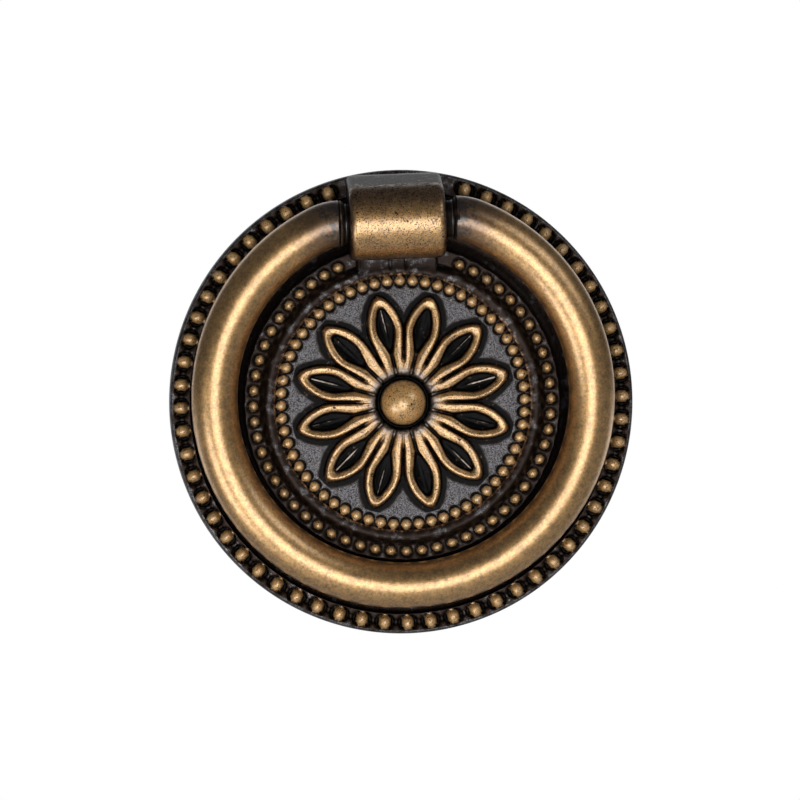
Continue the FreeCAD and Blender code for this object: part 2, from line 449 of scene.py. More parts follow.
        # Pale on the roots is wear; on the veins it is partly wear and partly a painted glint in
        # the dishes.
        worn = np.where(on_dome, 0.5, np.maximum(0.72 * root, 1.3 * vein))
        ground = np.where(on_dome, 0.0, np.maximum(1.0 - band, 0.55 * root_tip))
        return Relief(z, gold, cavity_and_shade * np.clip(1.0 - gold, 0.0, 1.0), ground, worn)


@dataclass
class Knuckle:
    """Hinge barrel on its foot, with a ramp from its back down to the rim."""

    half_width: float = 6.1
    hinge_y: float = 23.224
    hinge_z: float = 8.4
    barrel_r: float = 4.8
    hole_r: float = 2.45
    foot_z: float = 0.9
    ramp_y: float = 29.4
    ramp_z: float = 4.6
    edge_r: float = 0.85
    edge_steps: int = 5
    hole_steps: int = 48
    arc_steps: int = 48

    def outline(self, bm: bmesh.types.BMesh, x: float) -> list[bmesh.types.BMEdge]:
        """Closed side outline of the knuckle.

        Args:
            bm: Mesh to add to.
            x: Side that it lies on.

        Returns:
            Its edges.
        """
        reach_y = self.ramp_y - self.hinge_y
        reach_z = self.ramp_z - self.hinge_z
        touch = math.atan2(reach_z, reach_y)
        touch += math.acos(self.barrel_r / math.hypot(reach_y, reach_z))
        low = bm.verts.new((x, self.hinge_y - self.barrel_r, self.hinge_z))
        arc = bmesh.ops.spin(bm, geom=[low], cent=(x, self.hinge_y, self.hinge_z), axis=(-1, 0, 0),
                             angle=math.pi - touch, steps=self.arc_steps)
        high = next(g for g in arc["geom_last"] if isinstance(g, bmesh.types.BMVert))
        corners = [(self.ramp_y, self.ramp_z), (self.ramp_y, self.foot_z),
                   (self.hinge_y - self.barrel_r, self.foot_z)]
        chain = [high] + [bm.verts.new((x, y, z)) for y, z in corners] + [low]
        for pair in zip(chain, chain[1:]):
            bm.edges.new(pair)
        return [e for e in bm.edges if all(abs(v.co.x - x) < NEAR for v in e.verts)]

    def build(self) -> bmesh.types.BMesh:
        """Model the knuckle with its pin hole and rounded sides.

        Returns:
            The mesh, in millimetres.
        """
        bm = new_casting()
        outer: list[bmesh.types.BMEdge] = []
        inner: list[bmesh.types.BMEdge] = []
        for x in (-self.half_width, self.half_width):
            outer_side = self.outline(bm, x)
            place = (Matrix.Translation((x, self.hinge_y, self.hinge_z))
                     @ Matrix.Rotation(math.radians(90), 4, "Y"))
            hole = bmesh.ops.create_circle(bm, segments=self.hole_steps, radius=self.hole_r,
                                           matrix=place)
            hole_side = unique(e for v in hole["verts"] for e in v.link_edges)
            bmesh.ops.bridge_loops(bm, edges=outer_side + hole_side)
            outer += outer_side
            inner += hole_side
        bmesh.ops.bridge_loops(bm, edges=outer)
        bmesh.ops.bridge_loops(bm, edges=inner)
        bmesh.ops.recalc_face_normals(bm, faces=bm.faces)
        rounded = [e for e in outer if max(v.co.z for v in e.verts) > self.foot_z + NEAR]
        ends = [e for e in bm.edges if all(abs(v.co.y - self.ramp_y) < NEAR for v in e.verts)]
        top = [e for e in ends if all(abs(v.co.z - self.ramp_z) < NEAR for v in e.verts)]
        corners = [e for e in ends
                   if all(abs(abs(v.co.x) - self.half_width) < NEAR for v in e.verts)]
        bmesh.ops.bevel(bm, geom=unique(rounded + top + corners), offset=self.edge_r,
                        offset_type="OFFSET", affect="EDGES", segments=self.edge_steps,
                        profile=0.5, material=-1, clamp_overlap=True)
        for longest, cuts in ((6.0, 11), (1.6, 4)):
            long_edges = [e for e in bm.edges if e.calc_length() > longest]
            bmesh.ops.subdivide_edges(bm, edges=long_edges, cuts=cuts, use_grid_fill=True)
        return bm

    def add_to(self, bm: bmesh.types.BMesh) -> None:
        """Add the knuckle, with its finish and its painted shade, to the plate's mesh."""
        own = self.build()
        verts = list(own.verts)
        y = np.array([v.co.y for v in verts])
        z = np.array([v.co.z for v in verts])
        x = np.array([v.co.x for v in verts])
        turn = np.degrees(np.arctan2(y - self.hinge_y, z - self.hinge_z))
        side = smooth(self.half_width + 0.02, self.half_width - 0.6, np.abs(x))
        lip = smooth(self.ramp_y - 2.0, self.ramp_y - 1.2, y)
        # Full plating on the barrel's front, lowered towards its top, top lip, sides and underside
        # by the angle round it: painted shade.
        front = smooth(-101.0, -84.0, turn) * (0.3 + 0.7 * smooth(-88.0, -50.0, turn))
        gold = front * (1.0 - 0.55 * smooth(6.0, 48.0, turn)) * (1.0 - 0.8 * lip)
        gold = gold * (0.35 + 0.65 * side) * (z > self.foot_z + 1.0)
        # Painted shade: under the barrel, over its top and lip, and along its rounded sides.
        below = smooth(-84.0, -100.0, turn)
        dark = np.maximum.reduce([0.8 * below, 0.55 * smooth(10.0, 48.0, turn), 0.65 * lip])
        paint(own, verts, {Trait.GOLD: gold,
                           Trait.CAVITY_AND_SHADE: np.maximum(dark, 0.5 * (1.0 - side))})
        add_mesh(bm, own)


@dataclass
class CoredBack:
    """Back of the plate: a cored pocket round a boss tapped M4."""

    edge_r: float = 30.0
    pocket_r: float = 17.0
    pocket_z: float = 2.9
    boss_r: float = 4.0
    tap_r: float = 1.65
    tap_depth: float = 6.4
    thread_depth: float = 0.3
    thread_pitch: float = 0.7
    countersink: float = 0.4
    face_steps: int = 168
    boss_steps: int = 84

    def face_chain(self) -> list[tuple[float, float]]:
        """Profile from the plate's edge over the rim of the pocket to its floor."""
        p, b, z = self.pocket_r, self.boss_r, self.pocket_z
        return [(self.edge_r, 0.0), (self.edge_r - 0.3, 0.0), (24.0, 0.0), (p + 0.4, 0.0),
                (p + 0.15, 0.08), (p, 0.3), (p, z - 0.8), (p - 0.1, z - 0.35),
                (p - 0.35, z - 0.1), (p - 0.8, z), (11.0, z), (b + 0.8, z)]

    def boss_chain(self) -> list[tuple[float, float]]:
        """Profile from the pocket's floor over the boss and up the tapped hole to its end."""
        rings = int(5 * (self.tap_depth - self.countersink) / self.thread_pitch)
        wall = [(self.tap_r, self.countersink + (self.tap_depth - self.countersink) * i / rings)
                for i in range(rings + 1)]
        b, z = self.boss_r, self.pocket_z
        boss = [(b + 0.8, z), (b + 0.35, z - 0.1), (b + 0.1, z - 0.35), (b, z - 0.8), (b, 0.5),
                (b - 0.05, 0.15), (b - 0.25, 0.0), (self.tap_r + self.countersink + 0.1, 0.0)]
        return boss + wall + [(0.0, self.tap_depth)]

    def cut_thread(self, verts: list[bmesh.types.BMVert]) -> None:
        """Cut the helical thread into the wall of the hole.

        Args:
            verts: Points of the hole.
        """
        for v in verts:
            z = v.co.z
            if self.countersink + 1e-3 < z < self.tap_depth - 0.5:
                turn = math.atan2(v.co.y, v.co.x) / FULL_TURN
                phase = (z / self.thread_pitch - turn) % 1.0
                cut = self.thread_depth * (1.0 - abs(2.0 * phase - 1.0))
                grow = (self.tap_r + cut) / self.tap_r
                v.co.x *= grow
                v.co.y *= grow

    def add_to(self, bm: bmesh.types.BMesh, edge_steps: int, start: float) -> None:
        """Add the back with its finish.

        Args:
            bm: The plate's mesh.
            edge_steps: Points round the plate's open edge.
            start: Where they start, clockwise from the top, in radians.
        """
        before = set(bm.verts)
        spun(bm, self.face_chain(), self.face_steps, edge_steps // self.face_steps, start=start)
        spun(bm, self.boss_chain(), self.boss_steps, self.face_steps // self.boss_steps,
             start=start)
        added = [v for v in bm.verts if v not in before]
        self.cut_thread([v for v in added if v.co.xy.length < self.tap_r + 1e-3])
        r = np.array([v.co.xy.length for v in added])
        z = np.array([v.co.z for v in added])
        inside = smooth(0.3, self.pocket_z, z) * smooth(self.pocket_r + 1.0, self.pocket_r, r)
        paint(bm, added, {Trait.CAVITY_AND_SHADE: inside * 0.45, Trait.GROUND: 0.75 - 0.25 * inside})


@dataclass
class Backplate:
    """Round backplate: beaded rim, channel, two rows of beads, rosette, knuckle and back."""

    plate_r: float = 30.0
    rim_front_r: float = 29.55
    rim_z: float = 2.6
    channel_r: float = 27.25
    channel_z: float = 1.8
    rosette_r: float = 20.3
    ledge_z: float = 3.5
    crest_r: float = 17.6
    crest_z: float = 5.25
    join_r: float = 14.45  # where the rosette ends
    fine_r: float = 10.4  # where the finer rings begin
    row_turn: float = math.radians(0.9)  # clockwise from the knuckle
    strip_half: float = 5.1  # tool-marked strip below the knuckle
    rosette_steps: int = 420
    row_steps: int = 840
    rosette: Rosette = field(default_factory=Rosette)
    knuckle: Knuckle = field(default_factory=Knuckle)
    back: CoredBack = field(default_factory=CoredBack)

    def __post_init__(self) -> None:
        """Set the three rows of beads out."""
        clear_y = self.knuckle.hinge_y - self.knuckle.barrel_r - 2.0
        inner_y = clear_y + 0.8
        self.rim_row = BeadRow(
            row_r=28.46, half_length=0.98, half_width=0.8, rise=0.8, cup_depth=0.75,
            cup_half_length=1.03, cup_half_width=1.4, clear_x=7.35, clear_y=clear_y,
            turn=self.row_turn, power=2.4, wall=0.08)
        self.ledge_row = BeadRow(
            row_r=19.2, half_length=0.64, half_width=0.64, rise=0.56, cup_depth=0.2,
            cup_half_length=1.02, cup_half_width=0.98, clear_x=7.2, clear_y=inner_y,
            turn=self.row_turn)
        self.field_row = BeadRow(
            row_r=15.68, half_length=0.67, half_width=0.67, rise=0.58, cup_depth=0.2,
            cup_half_length=1.12, cup_half_width=0.95, clear_x=7.2, clear_y=inner_y,
            turn=self.row_turn)

    def rosette_rings(self) -> list[float]:
        """Radii of the rings from the middle to the finer ones."""
        dome = self.rosette.dome_r
        cap = [dome * math.sin(math.radians(a)) for a in np.linspace(0.0, 90.0, 12)]
        return cap + [float(r) for r in np.linspace(dome + 0.1, self.fine_r, 42)]

    def row_rings(self) -> list[float]:
        """Radii of the finer rings, out to the edge."""
        spans = [(self.fine_r, self.join_r, 23), (self.join_r + 0.14, 16.4, 14), (16.5, 18.4, 6),
                 (18.53, 20.3, 12), (20.4, 20.7, 2), (22.0, 26.5, 2), (27.12, 27.33, 3),
                 (27.41, 29.44, 13), (29.5, 29.55, 2), (29.75, 29.9, 2), (29.97, self.plate_r, 2)]
        return [float(r) for a, b, n in spans for r in np.linspace(a, b, n)]

    def ground_z(self, r: Array) -> Array:
        """Height of the plain ground at a radius.

        Args:
            r: Radii outside the joint.

        Returns:
            The heights.
        """
        z = np.full_like(r, self.rosette.field_z)
        z += 0.22 * smooth(16.3, 16.5, r) + 0.13 * smooth(16.5, self.crest_r - 0.2, r)
        z -= (self.crest_z - self.ledge_z) * smooth(self.crest_r - 0.05, self.crest_r + 0.65, r)
        z -= (self.ledge_z - self.channel_z) * smooth(self.rosette_r, self.rosette_r + 0.4, r)
        z += (self.rim_z - self.channel_z) * smooth(self.channel_r - 0.08, self.channel_r + 0.08, r)
        out = np.clip((r - self.rim_front_r) / (self.plate_r - self.rim_front_r), 0.0, 1.0)
        return np.where(r > self.rim_front_r, self.rim_z * np.sqrt(1.0 - out ** 3), z)

    def row_relief(self, x: Array, y: Array) -> Relief:
        """Height and finish from the joint to the edge.

        Args:
            x: Points across the plate.
            y: Points up the plate.

        Returns:
            The relief there.
        """
        r = np.hypot(x, y)
        z = self.ground_z(r)
        strip = smooth(self.strip_half + 0.1, self.strip_half - 0.1, np.abs(x)) * (y > 0.0)
        strip = strip * smooth(17.1, 17.4, r)
        strip = strip * smooth(self.rosette_r + 0.1, self.rosette_r - 0.1, r)
        marks = sum(smooth(0.22, 0.0, np.abs(x - at)) for at in (-4.6, -0.9, 1.1))
        z = z + strip * (self.crest_z - 0.25 - 0.3 * np.minimum(marks, 1.0) - z)
        gold, hollow, pale = np.zeros_like(r), np.zeros_like(r), np.zeros_like(r)
        for row in (self.rim_row, self.ledge_row, self.field_row):
            height, dome, cup = row.over(x, y)
            z = z + height
            # Bead tops are rubbed plating, lifted further by a painted highlight.
            gold = np.maximum(gold, BEAD_GOLD_AND_HIGHLIGHT * smooth(0.05, 0.4, dome))
            hollow = np.maximum(hollow, cup)
            pale = np.maximum(pale, 0.62 * smooth(0.05, 0.5, dome))
        z = np.where(r > self.plate_r - NEAR, 0.0, z)
        grey_field = smooth(16.1, 15.6, r)
        crest = smooth(16.5, 17.0, r) * smooth(18.1, 17.6, r)
        rim = smooth(self.channel_r, self.channel_r + 0.3, r)
        edge = smooth(self.rim_front_r - 0.12, self.rim_front_r, r)
        ledge = smooth(18.0, 18.4, r) * smooth(20.4, 20.1, r)
        # The crest's mottled grey is partly grey ground and partly a painted sheen on the crest's
        # edge.
        ground = np.maximum.reduce([grey_field, 0.22 * crest, 0.1 * ledge, 0.42 * strip,
                                    0.16 * rim])
        lip = smooth(16.35, 16.45, r) * smooth(16.6, 16.5, r)
        gold = np.maximum(gold, 0.38 * lip)
        dark = np.maximum(0.25 * smooth(16.3, 16.5, r), 0.5 * smooth(20.1, 20.6, r)) * (1.0 - rim)
        cavity_and_shade = np.maximum(hollow, dark * (1.0 - strip)) * np.clip(1.0 - gold, 0.0, 1.0)
        cavity_and_shade = cavity_and_shade * (1.0 - edge)
        worn = np.maximum(pale, 0.25 * rim * (1.0 - hollow) * (1.0 - edge))
        return Relief(z, gold, cavity_and_shade, ground * (1.0 - edge) + 0.6 * edge, worn)

    def raise_front(self, bm: bmesh.types.BMesh) -> None:
        """Raise the flat spun rings into the relief and paint its finish.

        Args:
            bm: The plate's mesh with only its front in it.
        """
        verts = list(bm.verts)
        x = np.array([v.co.x for v in verts])
        y = np.array([v.co.y for v in verts])
        inner = np.hypot(x, y) < self.join_r + NEAR
        a, b = self.rosette.relief(x, y), self.row_relief(x, y)
        for v, z in zip(verts, np.where(inner, a.z, b.z)):
            v.co.z = z
        paint(bm, verts, {trait: np.where(inner, getattr(a, trait.value), getattr(b, trait.value))
                          for trait in Trait})

    def build(self) -> bpy.types.Object:
        """Model the whole casting.

        Returns:
            The backplate's object.
        """
        bm = new_casting()
        rings, rows = self.rosette_rings(), self.row_rings()
        spun(bm, [(r, 0.0) for r in rings], self.rosette_steps,
             finer_end=self.row_steps // self.rosette_steps, start=self.row_turn)
        spun(bm, [(r, 0.0) for r in rows], self.row_steps, start=self.row_turn)
        bmesh.ops.remove_doubles(bm, verts=bm.verts, dist=WELD)
        self.raise_front(bm)
        self.back.add_to(bm, self.row_steps, self.row_turn)
        bmesh.ops.remove_doubles(bm, verts=bm.verts, dist=WELD)
        bmesh.ops.recalc_face_normals(bm, faces=bm.faces)
        self.knuckle.add_to(bm)
        return finished(bm, "plate_casting")

    def dress(self, piece: bpy.types.Object, material: bpy.types.Material) -> None:
        """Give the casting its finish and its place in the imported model.

        Args:
            piece: The backplate's object.
            material: Its finish.
        """
        piece.data.materials.append(material)
        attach(piece, Body.PLATE.value)
        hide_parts("backplate")


@dataclass
class Ring:
    """Open ring of round bar with level ends, each with a pin in the knuckle."""

    bow_r: float = 24.2
    bar_r: float = 2.95
    centre_y: float = 0.6
    shoulder_r: float = 5.8
    bend_x: float = 7.45
    end_x: float = 7.05
    left_end_x: float = 6.6  # the ring hangs a little to one side
    pin_r: float = 2.4
    pin_tip_x: float = 2.1
    end_round: float = 0.85  # rounding of the level ends
    pin_chamfer: float = 0.3
    neck: float = 0.12  # fillet between a pin and its end
    gate_flat: float = 0.23  # depth of the flat where the casting's gate was cut off
    hinge_y: float = 23.224
    hinge_z: float = 8.4
    tilt: float = math.radians(4.103)
    bar_steps: int = 64
    bow_steps: int = 300
    shoulder_steps: int = 16

    @property
    def shoulder_turn(self) -> float:
        """Angle of each shoulder, in radians."""
        return math.asin(self.bend_x / (self.bow_r - self.shoulder_r))

    def end_steps(self, end_x: float) -> list[tuple[float, float]]:
        """Radius and place of each loop from the level bar to the pin's tip."""
        steps = [(self.bar_r - self.end_round * (1.0 - math.cos(a)),
                  end_x + self.end_round * (1.0 - math.sin(a)))
                 for a in np.linspace(0.0, math.pi / 2, 7)]
        pin = [(self.pin_r + self.neck, end_x), (self.pin_r, end_x - self.neck)]
        tip = [(self.pin_r, self.pin_tip_x + self.pin_chamfer),
               (self.pin_r - self.pin_chamfer, self.pin_tip_x)]
        return steps + pin + tip

    def close_end(self, bm: bmesh.types.BMesh, loop: list[bmesh.types.BMEdge], side: int) -> None:
        """Run a bar's level end out into its rounded face and pin.

        Args:
            bm: The ring's mesh.
            loop: Edges of the open end.
            side: 1 for the right end, -1 for the left.
        """
        radius = self.bar_r
        for r, x in self.end_steps(self.end_x if side > 0 else self.left_end_x):
            out = bmesh.ops.extrude_edge_only(bm, edges=loop)["geom"]
            verts = [g for g in out if isinstance(g, bmesh.types.BMVert)]
            loop = [g for g in out if isinstance(g, bmesh.types.BMEdge)
                    and all(v in verts for v in g.verts)]
            for v in verts:
                v.co.x = side * x
                v.co.y = self.hinge_y + (v.co.y - self.hinge_y) * r / radius
                v.co.z = self.hinge_z + (v.co.z - self.hinge_z) * r / radius
            radius = r
        bmesh.ops.contextual_create(bm, geom=loop)

    def cut_gate(self, bm: bmesh.types.BMesh) -> None:
        """Flatten the bow's lowest outside, where the gate was cut off."""
        flat_y = self.centre_y - self.bow_r - self.bar_r + self.gate_flat
        for v in bm.verts:
            v.co.y = max(v.co.y, flat_y)

    def wear(self, bm: bmesh.types.BMesh) -> None:
        """Paint the finish: bright all round the bow, dark towards the hinge and on the pins."""
        verts = list(bm.verts)
        co = np.array([v.co for v in verts])
        x, y, z = co[:, 0], co[:, 1] - self.centre_y, co[:, 2] - self.hinge_z
        r = np.hypot(x, y)
        from_top = np.degrees(np.abs(np.arctan2(x, y)))
        front = np.degrees(np.abs(np.arctan2(r - self.bow_r, z)))
        ends = smooth(17.0, 36.0, from_top)
        end_x = np.where(x > 0.0, self.end_x, self.left_end_x)
        pins = smooth(0.5, 0.0, np.abs(x) - end_x) * (y > 0.0)
        behind = smooth(95.0, 150.0, front)
        gold = (0.22 + 0.78 * ends) * (1.0 - 0.6 * behind) * (1.0 - 0.6 * pins)
        paint(bm, verts, {Trait.GOLD: gold,
                          Trait.CAVITY_AND_SHADE: np.maximum(0.6 * pins, 0.3 * behind)})

    def build(self) -> bpy.types.Object:
        """Model the ring hanging in the channel.

        Returns:
            The ring's object.
        """
        bm = new_casting()
        place = (Matrix.Translation((self.bend_x, self.hinge_y, self.hinge_z))
                 @ Matrix.Rotation(math.radians(90), 4, "Y"))
        circle = bmesh.ops.create_circle(bm, segments=self.bar_steps, radius=self.bar_r,
                                         matrix=place)
        first = unique(e for v in circle["verts"] for e in v.link_edges)
        turn = self.shoulder_turn
        bend_y = self.hinge_y - self.shoulder_r
        arcs = [((self.bend_x, bend_y, self.hinge_z), turn, self.shoulder_steps),
                ((0.0, self.centre_y, self.hinge_z), FULL_TURN - 2.0 * turn, self.bow_steps),
                ((-self.bend_x, bend_y, self.hinge_z), turn, self.shoulder_steps)]
        loop = first
        for centre, angle, steps in arcs:
            verts = unique(v for e in loop for v in e.verts)
            last = bmesh.ops.spin(bm, geom=verts + loop, cent=centre, axis=(0, 0, -1),
                                  angle=angle, steps=steps)["geom_last"]
            loop = [g for g in last if isinstance(g, bmesh.types.BMEdge)]
        self.close_end(bm, first, 1)
        self.close_end(bm, loop, -1)
        bmesh.ops.remove_doubles(bm, verts=bm.verts, dist=1e-5)
        bmesh.ops.recalc_face_normals(bm, faces=bm.faces)
        self.wear(bm)
        self.cut_gate(bm)
        bmesh.ops.rotate(bm, verts=bm.verts, cent=(0, self.hinge_y, self.hinge_z),
                         matrix=Matrix.Rotation(self.tilt, 3, "X"))
        return finished(bm, "ring_casting")

    def dress(self, piece: bpy.types.Object, material: bpy.types.Material) -> None:
        """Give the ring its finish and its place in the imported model.

        Args:
            piece: The ring's object.
            material: Its finish.
        """
        piece.data.materials.append(material)
        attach(piece, Body.RING.value)
        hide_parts("ring")


class Graph:
    """Short hand for laying out a node tree."""

    def __init__(self, tree: bpy.types.NodeTree) -> None:
        """Keep the tree."""
        self.tree = tree

    def node(self, kind: str, **settings: object) -> bpy.types.Node:
        """Add a node.

        Args:
            kind: Blender's name of the node.
            settings: Properties to set on it.

        Returns:
            The node.
        """
        made = self.tree.nodes.new(kind)
        for name, value in settings.items():
            setattr(made, name, value)
        return made

    def feed(self, socket: bpy.types.NodeSocket, value: object) -> None:
        """Link a socket, or set its value where no socket is given.

        Args:
            socket: The input.
            value: An output socket, a number or a colour.
        """
        if isinstance(value, bpy.types.NodeSocket):
            self.tree.links.new(value, socket)
        elif isinstance(value, tuple) and len(value) == 3 and socket.type == "RGBA":
            socket.default_value = (*value, 1.0)
        else:
            socket.default_value = value

    def math(self, operation: str, a: object, b: object = 0.0) -> bpy.types.NodeSocket:
        """Add a math node on two values and return its output."""
        made = self.node("ShaderNodeMath", operation=operation)
        self.feed(made.inputs[0], a)
        self.feed(made.inputs[1], b)
        return made.outputs[0]

    def step(self, value: object, low: float, high: float, to_low: float = 0.0,
             to_high: float = 1.0) -> bpy.types.NodeSocket:
        """Add a smooth step of a value and return its output.

        Args:
            value: What is stepped.
            low: Where the step begins.
            high: Where it ends.
            to_low: Result below it.
            to_high: Result above it.

        Returns:
            The stepped value.
        """
        made = self.node("ShaderNodeMapRange", interpolation_type="SMOOTHSTEP")
        for socket, given in zip(made.inputs, (value, low, high, to_low, to_high)):
            self.feed(socket, given)
        return made.outputs[0]

    def mix(self, share: object, a: object, b: object) -> bpy.types.NodeSocket:
        """Add a colour mix and return its output."""
        made = self.node("ShaderNodeMix", data_type="RGBA")
        for index, given in ((0, share), (6, a), (7, b)):
            self.feed(made.inputs[index], given)
        return made.outputs[2]

    def blend(self, share: object, a: object, b: object) -> bpy.types.NodeSocket:
        """Add a mix of two numbers and return its output."""
        made = self.node("ShaderNodeMix", data_type="FLOAT")
        for index, given in ((0, share), (2, a), (3, b)):
            self.feed(made.inputs[index], given)
        return made.outputs[0]

    def centred(self, value: object, spread: float) -> bpy.types.NodeSocket:
        """Spread a value of 0 to 1 evenly about 0 and return its output."""
        made = self.math("MULTIPLY_ADD", value, spread).node
        self.feed(made.inputs[2], -0.5 * spread)
        return made.outputs[0]

    def noise(self, where: bpy.types.NodeSocket, per_metre: float,
              detail: float) -> bpy.types.NodeSocket:
        """Add a noise texture.

        Args:
            where: Coordinates in metres.
            per_metre: How many spots to a metre.
            detail: Octaves.

        Returns:
            Its grey value.
        """
        made = self.node("ShaderNodeTexNoise")
        self.feed(made.inputs["Vector"], where)
        self.feed(made.inputs["Scale"], per_metre)
        self.feed(made.inputs["Detail"], detail)
        return made.outputs[0]


def new_group(name: str, inputs: dict[str, str], outputs: dict[str, str]) -> tuple[
        Graph, dict[str, bpy.types.NodeSocket], bpy.types.Node]:
    """Start a shader node group.

    Args:
        name: Name of the group.
        inputs: Socket type of each input.
        outputs: Socket type of each output.

    Returns:
        The group's graph, its inputs by name and its output node.
    """
    tree = bpy.data.node_groups.new(name, "ShaderNodeTree")
    for way, sockets in (("INPUT", inputs), ("OUTPUT", outputs)):
        for label, kind in sockets.items():
            tree.interface.new_socket(name=label, in_out=way, socket_type=kind)
    graph = Graph(tree)
    entry, leave = graph.node("NodeGroupInput"), graph.node("NodeGroupOutput")
    return graph, {label: entry.outputs[label] for label in inputs}, leave


NUMBER = "NodeSocketFloat"
COLOUR = "NodeSocketColor"
# Spots to a metre in the cast surface
GRAIN, SMALL_PITS, LARGE_PITS, MOTTLE, STIPPLE = 2800.0, 6400.0, 1500.0, 900.0, 7500.0


def cast_surface_group() -> bpy.types.NodeTree:
    """Cast metal's own texture: fine grain, dark pits, mottling and the ground's stipple.

    Returns:
        The node group.
    """
    graph, _, leave = new_group("cast_surface", {}, {
        "Grain": NUMBER, "Pits": NUMBER, "Mottle": NUMBER, "Stipple": NUMBER})
    where = graph.node("ShaderNodeTexCoord").outputs["Object"]
    graph.feed(leave.inputs["Grain"], graph.noise(where, GRAIN, 5.0))
    small = graph.step(graph.noise(where, SMALL_PITS, 3.0), 0.52, 0.66)
    large = graph.step(graph.noise(where, LARGE_PITS, 2.0), 0.68, 0.73)
    graph.feed(leave.inputs["Pits"], graph.math("MAXIMUM", small, large))
    graph.feed(leave.inputs["Mottle"], graph.noise(where, MOTTLE, 5.0))
    graph.feed(leave.inputs["Stipple"], graph.noise(where, STIPPLE, 3.0))
    return graph.tree


def relieved_finish_group() -> bpy.types.NodeTree:
    """Dark patina that is rubbed back to bright plating on what stands proud.

    Returns:
        The node group.
    """
    graph, given, leave = new_group("relieved_finish", {
        "Gold": NUMBER, "Cavity_and_shade": NUMBER, "Ground": NUMBER, "Worn": NUMBER, "Grain": NUMBER,
        "Pits": NUMBER, "Mottle": NUMBER, "Stipple": NUMBER, "Speckle": NUMBER,
        "Dark Lacquer": NUMBER, "Bright": COLOUR, "Dull": COLOUR, "Patina": COLOUR, "Black": COLOUR,
        "Ground Colour": COLOUR, "Worn Colour": COLOUR,
    }, {"Colour": COLOUR, "Roughness": NUMBER, "Metallic": NUMBER, "Lacquer": NUMBER,
        "Height": NUMBER})
    uneven = graph.centred(given["Grain"], 0.9)
    patches = graph.centred(given["Mottle"], 0.7)
    broken = graph.math("ADD", uneven, patches)
    rubbed = graph.math("ADD", given["Gold"], broken)
    pitted = graph.math("MULTIPLY", given["Pits"], given["Speckle"])
    rubbed = graph.math("MULTIPLY", rubbed, graph.math("SUBTRACT", 1.0, pitted))
    share = graph.step(rubbed, 0.15, 0.5)
    bright = graph.step(rubbed, 0.5, 1.35)
    grains = graph.step(given["Stipple"], 0.34, 0.66)
    grey = graph.mix(grains, given["Patina"], given["Ground Colour"])
    partly = graph.math("SUBTRACT", 1.0, given["Ground"])
    bared = graph.math("MULTIPLY", graph.math("MULTIPLY", patches, partly), 5.5)
    bared = graph.math("ADD", given["Ground"], bared)
    under = graph.mix(graph.step(bared, 0.2, 0.9), given["Patina"], grey)
    ragged = graph.centred(given["Stipple"], 1.2)
    hidden = graph.step(graph.math("ADD", given["Cavity_and_shade"], ragged), 0.2, 0.9)
    under = graph.mix(hidden, under, given["Black"])
    plated = graph.mix(bright, given["Dull"], given["Bright"])
    colour = graph.mix(share, under, plated)
    thin = graph.math("ADD", given["Worn"], graph.math("MULTIPLY", broken, 0.6))
    pale = graph.step(thin, 0.5, 1.1)
    graph.feed(leave.inputs["Colour"], graph.mix(pale, colour, given["Worn Colour"]))
    matte = graph.blend(given["Ground"], 0.46, 0.6)
    matte = graph.blend(given["Cavity_and_shade"], matte, 0.36)
    graph.feed(leave.inputs["Roughness"], graph.blend(share, matte, 0.37))
    satin = graph.step(given["Worn"], 0.0, 0.8, 1.0, 0.35)
    graph.feed(leave.inputs["Metallic"], graph.blend(share, 0.97, satin))
    graph.feed(leave.inputs["Lacquer"], graph.blend(share, given["Dark Lacquer"], 1.0))
    rough_ground = graph.math("MULTIPLY", given["Stipple"], given["Ground"])
    grain = graph.math("MULTIPLY", given["Grain"], 0.4)
    height = graph.math("SUBTRACT", graph.math("ADD", grain, rough_ground), pitted)
    graph.feed(leave.inputs["Height"], height)
    return graph.tree


